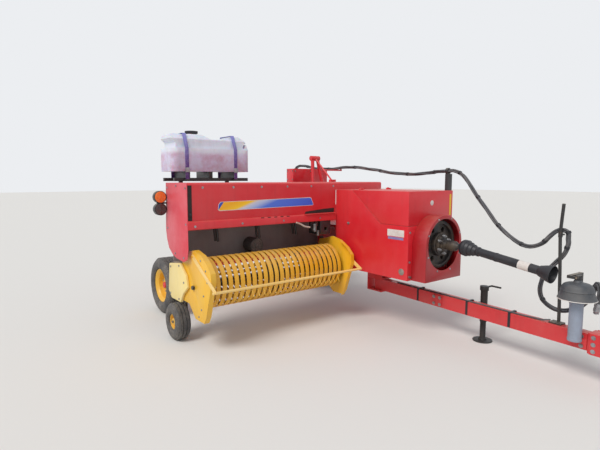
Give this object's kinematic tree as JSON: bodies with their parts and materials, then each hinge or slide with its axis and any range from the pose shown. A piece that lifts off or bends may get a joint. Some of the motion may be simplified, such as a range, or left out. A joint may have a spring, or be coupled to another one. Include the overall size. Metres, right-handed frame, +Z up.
{
  "type": "small square baler",
  "caption": "Towed baler with a side pickup of tines under a long hood, a drive box with flywheel, bale case with knotters, tongue on a jack and road wheels.",
  "frame": {"origin": "on the ground, under the middle of the machine's length and width", "axes": "+X points to the machine's left, +Y to its rear and +Z up; the tongue points to -Y"},
  "size_m": [3.035, 5.7962, 2.205],
  "materials": {
    "red_paint": "gloss paint, weathered",
    "faded_red_paint": "faded gloss paint",
    "black_paint": "satin paint",
    "grey_paint": "dusty grey paint",
    "yellow_paint": "gloss paint, worn",
    "cream_paint": "pale cream paint",
    "bare_steel": "polished by use",
    "zinc": "zinc plated, dull",
    "rubber": "worn tread",
    "hose_rubber": "hydraulic hose cover",
    "white_plastic": "translucent white plastic",
    "black_plastic": "scuffed black plastic",
    "strap_blue": "woven strap",
    "amber_lens": "moulded lens"
  },
  "bodies": {
    "baler": {"bale_case": "red_paint", "main_frame": "black_paint", "front_box": "red_paint", "flywheel_guard": "red_paint", "gearbox": "grey_paint", "hood": "red_paint", "hood_end_panel": "faded_red_paint", "feed_table": "grey_paint", "feeder_forks": "black_paint", "feed_cover": "black_paint", "plunger": "grey_paint", "knotter_frame": "red_paint", "knotters": "bare_steel", "needles": "grey_paint", "density_frame": "black_paint", "a_frame": "red_paint", "axle": "red_paint", "tank": "white_plastic", "tank_frame": "black_paint", "tank_straps": "strap_blue", "lamps": "amber_lens", "twine_box": "red_paint", "hose_post": "black_paint", "hoses_held": "hose_rubber", "hoses_bridge": "hose_rubber"},
    "front_lid": {"front_lid": "red_paint"},
    "flywheel": {"flywheel": "black_paint"},
    "knotter_cover": {"knotter_cover": "red_paint"},
    "metering_wheel": {"metering_wheel": "bare_steel"},
    "wheel_right": {"rim_right": "yellow_paint", "tire_right": "rubber"},
    "wheel_left": {"rim_left": "yellow_paint", "tire_left": "rubber"},
    "twine_lid": {"twine_lid": "red_paint"},
    "bale_chute": {"bale_chute": "red_paint"},
    "pickup": {"pickup_frame": "black_paint", "stripper_bands": "yellow_paint", "pickup_sheets": "yellow_paint", "drive_shield": "cream_paint"},
    "pickup_reel": {"pickup_reel": "bare_steel"},
    "wind_guard": {"wind_guard": "cream_paint"},
    "gauge_wheel": {"gauge_rim": "yellow_paint", "gauge_tire": "rubber"},
    "tongue": {"tongue_beam": "red_paint", "jack_tube": "black_paint", "hose_stand": "black_paint", "shaft_support": "black_paint", "hoses_tongue": "hose_rubber"},
    "jack_leg": {"jack_leg": "black_paint"},
    "driveline": {"driveline": "black_plastic"},
    "pto_front": {"pto_front": "black_plastic"}
  },
  "joints": [
    {"name": "front_lid_hinge", "type": "hinge", "parent": "baler", "child": "front_lid", "pos_m": [0.8325, -0.26687, 1.516], "axis": [-1, 0, 0], "range_deg": [0, 75]},
    {"name": "flywheel_spin", "type": "hinge", "parent": "baler", "child": "flywheel", "pos_m": [0.8325, -1.17187, 0.96], "axis": [0, -1, 0], "continuous": true},
    {"name": "knotter_cover_hinge", "type": "hinge", "parent": "baler", "child": "knotter_cover", "pos_m": [0.8325, 1.10113, 1.47], "axis": [-1, 0, 0], "range_deg": [0, 75]},
    {"name": "metering_wheel_spin", "type": "hinge", "parent": "baler", "child": "metering_wheel", "pos_m": [0.8325, 1.85813, 1.15], "axis": [1, 0, 0], "continuous": true},
    {"name": "wheel_right_spin", "type": "hinge", "parent": "baler", "child": "wheel_right", "pos_m": [-1.0875, 1.32813, 0.339], "axis": [1, 0, 0], "continuous": true},
    {"name": "wheel_left_spin", "type": "hinge", "parent": "baler", "child": "wheel_left", "pos_m": [1.3475, 1.32813, 0.393], "axis": [1, 0, 0], "continuous": true},
    {"name": "twine_lid_hinge", "type": "hinge", "parent": "baler", "child": "twine_lid", "pos_m": [1.098, 1.35813, 1.244], "axis": [0, -1, 0], "range_deg": [0, 60]},
    {"name": "bale_chute_fold", "type": "hinge", "parent": "baler", "child": "bale_chute", "pos_m": [0.8325, 2.49213, 0.682], "axis": [1, 0, 0], "range_deg": [0, 70]},
    {"name": "pickup_lift", "type": "hinge", "parent": "baler", "child": "pickup", "pos_m": [-0.4675, 0.54013, 0.7], "axis": [-1, 0, 0], "range_deg": [0, 10]},
    {"name": "reel_spin", "type": "hinge", "parent": "pickup", "child": "pickup_reel", "pos_m": [-0.4675, -0.01187, 0.6], "axis": [1, 0, 0], "continuous": true},
    {"name": "wind_guard_lift", "type": "hinge", "parent": "pickup", "child": "wind_guard", "pos_m": [-0.4675, -0.01187, 0.9], "axis": [-1, 0, 0], "range_deg": [0, 55]},
    {"name": "gauge_wheel_spin", "type": "hinge", "parent": "pickup", "child": "gauge_wheel", "pos_m": [-1.3655, 0.35413, 0.188], "axis": [1, 0, 0], "continuous": true},
    {"name": "tongue_swing", "type": "hinge", "parent": "baler", "child": "tongue", "pos_m": [1.0295, -0.22187, 0.34], "axis": [0, 0, 1], "range_deg": [0, 16], "deforming": ["hoses_bridge"]},
    {"name": "driveline_swing", "type": "hinge", "parent": "baler", "child": "driveline", "pos_m": [0.8325, -1.47187, 0.96], "axis": [0, 0, 1], "range_deg": [0, 34.4]},
    {"name": "front_shaft_swing", "type": "hinge", "parent": "tongue", "child": "pto_front", "pos_m": [0.74367, -2.51752, 0.86], "axis": [-0.9976, 0.0698, 0], "range_deg": [-5, 80]},
    {"name": "jack_slide", "type": "slide", "parent": "tongue", "child": "jack_leg", "axis": [0, 0, 1], "range_m": [0, 0.165]}
  ],
  "couplings": [
    {"joint": "driveline_swing", "follows": "tongue_swing", "ratio": 2.15}
  ]
}
